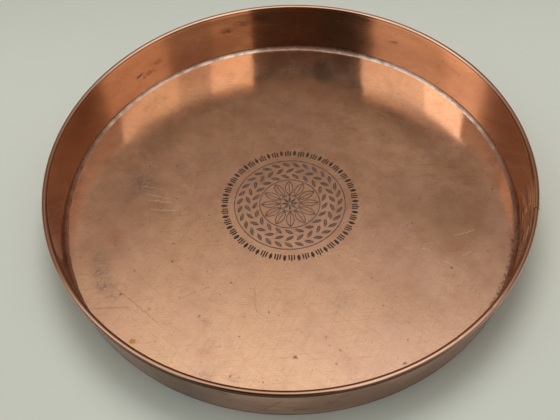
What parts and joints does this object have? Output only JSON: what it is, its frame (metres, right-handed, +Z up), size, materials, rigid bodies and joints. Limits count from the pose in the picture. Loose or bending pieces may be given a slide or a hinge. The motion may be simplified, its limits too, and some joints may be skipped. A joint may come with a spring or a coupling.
{
  "type": "round serving tray",
  "caption": "Round flat-bottomed copper serving tray with a leaning wall, a wired rolled edge and a dark leaf-and-rosette ornament at the middle.",
  "frame": {"origin": "centre of the flat face that the tray rests on", "axes": "+Z up, out of the tray's mouth; +X to the right as the tray is seen from its front, -Y; the wall's seam lies 14.4 degrees from +X towards -Y"},
  "size_m": [0.3504, 0.3499, 0.0426],
  "materials": {
    "base_copper": "polished copper, lightly tarnished and scratched",
    "wall_copper": "polished copper, lightly tarnished",
    "rim_wire": "drawn steel wire",
    "seam_solder": "wiped and scraped solder, tinted by copper",
    "base_solder": "dull tin solder",
    "border_enamel": "dark satin enamel",
    "rosette_enamel": "dark satin enamel, worn thinner"
  },
  "bodies": {
    "root": {"base_plate": "base_copper", "wall_band": "wall_copper", "rim_wire": "rim_wire", "seam_solder": "seam_solder", "base_solder": "base_solder", "ornament_border": "border_enamel", "ornament_rosette": "rosette_enamel"}
  },
  "joints": []
}
